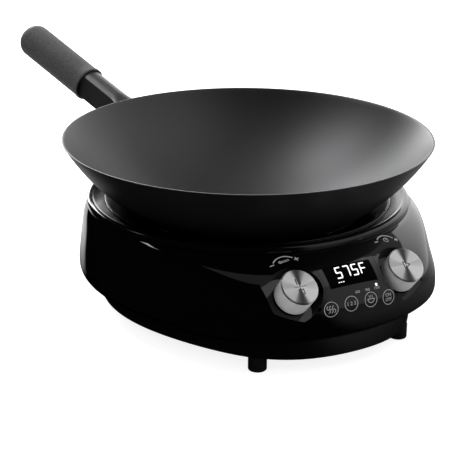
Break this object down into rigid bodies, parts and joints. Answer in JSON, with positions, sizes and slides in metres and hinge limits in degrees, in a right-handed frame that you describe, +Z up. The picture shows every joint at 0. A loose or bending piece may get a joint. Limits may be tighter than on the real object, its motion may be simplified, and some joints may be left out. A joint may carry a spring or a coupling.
{
  "type": "electric wok",
  "caption": "Countertop electric wok: round-bottomed steel wok with one straight handle, seated in the bowl of an induction base with knobs, display and touch keys.",
  "frame": {"origin": "point of the counter below the axis of the wok and its glass bowl", "axes": "+Z up along the axis of the wok, -Y towards the controls, +X to the user's right"},
  "size_m": [0.3555, 0.5271, 0.22],
  "materials": {
    "wok_steel": "seasoned carbon steel, satin",
    "neck_steel": "satin black steel",
    "plated_steel": "zinc plated",
    "grip_rubber": "fine textured",
    "black_glass": "polished black glass-ceramic",
    "trim_ring": "dark polished",
    "seal_rubber": "matte silicone",
    "lip_plastic": "polished black",
    "mica": "pale mica sheet",
    "copper_litz": "wound enamelled copper",
    "dark_nylon": "moulded",
    "ferrite": "pressed ferrite",
    "gloss_black": "high-gloss moulded",
    "display_lens": "tinted lens",
    "tray_black": "satin moulded",
    "foot_rubber": "moulded",
    "spun_steel": "turned and circular-brushed",
    "white_nylon": "moulded",
    "board_green": "solder-masked laminate",
    "lamp_lens": "diffusing lens",
    "raw_aluminium": "mill finish",
    "capacitor_red": "dipped resin"
  },
  "bodies": {
    "base": {"board_posts": "plated_steel", "board_screws": "plated_steel", "bowl_seal": "seal_rubber", "bowl_trim": "trim_ring", "buzzer": "dark_nylon", "coil_former": "dark_nylon", "coil_posts": "dark_nylon", "control_board": "board_green", "control_console": "gloss_black", "cord_gland": "foot_rubber", "display_module": "white_nylon", "display_window": "display_lens", "electrolytic_cans": "raw_aluminium", "fan_frame": "dark_nylon", "fan_motor": "copper_litz", "fan_posts": "dark_nylon", "fan_screws": "plated_steel", "ferrite_bars": "ferrite", "film_capacitors": "capacitor_red", "filter_choke": "copper_litz", "foot_screws": "plated_steel", "front_left_foot": "foot_rubber", "front_right_foot": "foot_rubber", "glass_bowl": "black_glass", "heat_sink": "raw_aluminium", "housing_pillars": "dark_nylon", "housing_screws": "plated_steel", "indicator_lamps": "lamp_lens", "induction_coil": "copper_litz", "left_encoder": "plated_steel", "lip_ring": "lip_plastic", "lower_tray": "tray_black", "mica_sheet": "mica", "power_board": "board_green", "power_transistors": "dark_nylon", "rear_left_foot": "foot_rubber", "rear_right_foot": "foot_rubber", "right_encoder": "plated_steel", "sensor_holder": "seal_rubber", "temperature_sensor": "plated_steel", "touch_springs": "plated_steel", "upper_housing": "gloss_black", "wok_rest_ring": "seal_rubber"},
    "wok": {"wok_bowl": "wok_steel", "handle_neck": "neck_steel", "handle_tang": "plated_steel", "handle_grip": "grip_rubber", "grip_screw": "plated_steel"},
    "fan": {"fan_rotor": "dark_nylon"},
    "left_press": {"left_press_plunger": "white_nylon"},
    "right_press": {"right_press_plunger": "white_nylon"},
    "left_knob": {"left_knob_cap": "spun_steel", "left_knob_core": "dark_nylon", "left_knob_shaft": "plated_steel"},
    "right_knob": {"right_knob_cap": "spun_steel", "right_knob_core": "dark_nylon", "right_knob_shaft": "plated_steel"}
  },
  "joints": [
    {"name": "wok_lift", "type": "slide", "parent": "base", "child": "wok", "axis": [0, 0, 1], "range_m": [0, 0.12]},
    {"name": "fan_spin", "type": "hinge", "parent": "base", "child": "fan", "pos_m": [0, 0.082, 0.03], "axis": [0, 0, 1], "continuous": true},
    {"name": "left_knob_press", "type": "slide", "parent": "base", "child": "left_press", "axis": [0, 0.6561, -0.7547], "range_m": [0, 0.0008], "stiffness_N_per_m": 3500},
    {"name": "left_knob_turn", "type": "hinge", "parent": "left_press", "child": "left_knob", "pos_m": [-0.0553, -0.1885, 0.0881], "axis": [0, -0.6561, 0.7547], "continuous": true},
    {"name": "right_knob_press", "type": "slide", "parent": "base", "child": "right_press", "axis": [0, 0.6561, -0.7547], "range_m": [0, 0.0008], "stiffness_N_per_m": 3500},
    {"name": "right_knob_turn", "type": "hinge", "parent": "right_press", "child": "right_knob", "pos_m": [0.0553, -0.1885, 0.0881], "axis": [0, -0.6561, 0.7547], "continuous": true}
  ]
}
